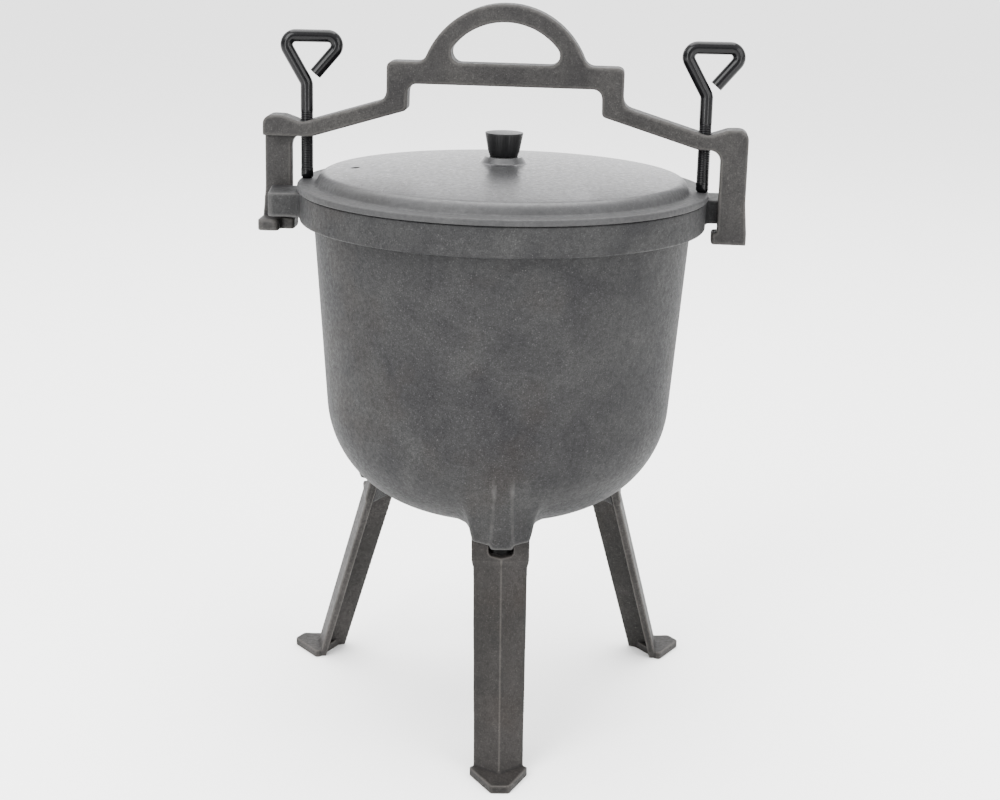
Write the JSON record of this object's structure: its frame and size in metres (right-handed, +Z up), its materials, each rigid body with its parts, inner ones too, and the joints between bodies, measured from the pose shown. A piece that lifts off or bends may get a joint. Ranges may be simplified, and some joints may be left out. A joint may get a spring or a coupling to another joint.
{
  "type": "cauldron",
  "caption": "Cast-iron hunter's cauldron on splayed angle-section legs, with a domed lid held shut by a turning clamp bar that has a D-shaped handle, hooked ends and screws with wire loops.",
  "frame": {"origin": "on the floor, under the middle of the pot", "axes": "+Z up; +X from the middle of the pot through its right lug; the front leg points to -Y, which faces the viewer of the picture"},
  "size_m": [0.3572, 0.3285, 0.527],
  "materials": {
    "pot_iron": "seasoned, fine sand-cast grain",
    "leg_iron": "seasoned, fine sand-cast grain",
    "lid_iron": "seasoned, satin",
    "bar_iron": "seasoned, fine sand-cast grain",
    "screw_black": "glossy black",
    "knob_black": "satin black",
    "bush_brass": "machined",
    "fastener_steel": "zinc plated"
  },
  "bodies": {
    "pot_and_legs": {"pot": "pot_iron", "leg_front": "leg_iron", "leg_rear_right": "leg_iron", "leg_rear_left": "leg_iron"},
    "lid": {"lid": "lid_iron", "knob": "knob_black", "knob_bush": "bush_brass", "knob_screw": "fastener_steel", "knob_washer": "fastener_steel"},
    "left_screw": {"clamp_screw_left": "screw_black"},
    "right_screw": {"clamp_screw_right": "screw_black"},
    "bar": {"clamp_bar": "bar_iron"}
  },
  "joints": [
    {"name": "lid_turn", "type": "hinge", "parent": "pot_and_legs", "child": "lid", "pos_m": [0, 0, 0.3925], "axis": [0, 0, 1], "range_deg": [-162, 0]},
    {"name": "left_screw_turn", "type": "hinge", "parent": "lid", "child": "left_screw", "pos_m": [-0.14342, 0.01761, 0.397], "axis": [0, 0, 1], "range_deg": [-1368, 7200]},
    {"name": "right_screw_turn", "type": "hinge", "parent": "lid", "child": "right_screw", "pos_m": [0.14342, -0.01761, 0.397], "axis": [0, 0, 1], "range_deg": [-1368, 7200]},
    {"name": "bar_lift", "type": "slide", "parent": "lid", "child": "bar", "axis": [0, 0, 1], "range_m": [-0.025, 0.00475]}
  ],
  "couplings": [
    {"joint": "left_screw_turn", "follows": "bar_lift", "rad_per_m": -5026.5},
    {"joint": "right_screw_turn", "follows": "bar_lift", "rad_per_m": -5026.5}
  ]
}
